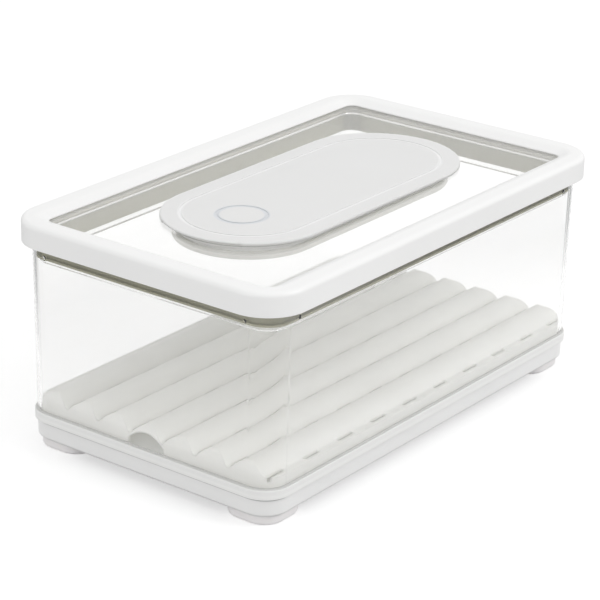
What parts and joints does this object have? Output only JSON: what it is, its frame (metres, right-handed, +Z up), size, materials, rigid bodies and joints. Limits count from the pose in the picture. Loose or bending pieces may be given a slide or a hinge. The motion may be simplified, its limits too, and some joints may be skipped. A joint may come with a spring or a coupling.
{
  "type": "produce storage bin",
  "caption": "Clear rectangular produce bin on a white base with soft feet, corrugated drain tray, and a framed clear lid with an oval lift-off cover over an air-slotted pocket.",
  "frame": {"origin": "under the middle of the bin, on the plane that the feet stand on", "axes": "+Z up, +X along the length, +Y along the width to the back"},
  "size_m": [0.375, 0.226, 0.163],
  "materials": {
    "clear_plastic": "clear polished plastic",
    "white_plastic": "satin white moulded plastic",
    "tray_plastic": "satin white moulded plastic",
    "cover_plastic": "frosted white plastic",
    "seal_silicone": "soft warm grey silicone",
    "foot_rubber": "translucent white soft rubber"
  },
  "bodies": {
    "bin": {"tub": "clear_plastic", "base_shell": "white_plastic", "foot_front_left": "foot_rubber", "foot_front_right": "foot_rubber", "foot_back_left": "foot_rubber", "foot_back_right": "foot_rubber"},
    "tray": {"drain_tray": "tray_plastic"},
    "lid": {"lid_frame": "white_plastic", "lid_panel": "clear_plastic", "lid_seal": "seal_silicone"},
    "cover": {"vent_cover": "cover_plastic", "cover_seal": "seal_silicone"}
  },
  "joints": [
    {"name": "lid_lift", "type": "slide", "parent": "bin", "child": "lid", "axis": [0, 0, 1], "range_m": [0, 0.12]},
    {"name": "cover_lift", "type": "slide", "parent": "lid", "child": "cover", "axis": [0, 0, 1], "range_m": [0, 0.06]},
    {"name": "tray_lift", "type": "slide", "parent": "bin", "child": "tray", "axis": [0, 0, 1], "range_m": [0, 0.085]}
  ]
}
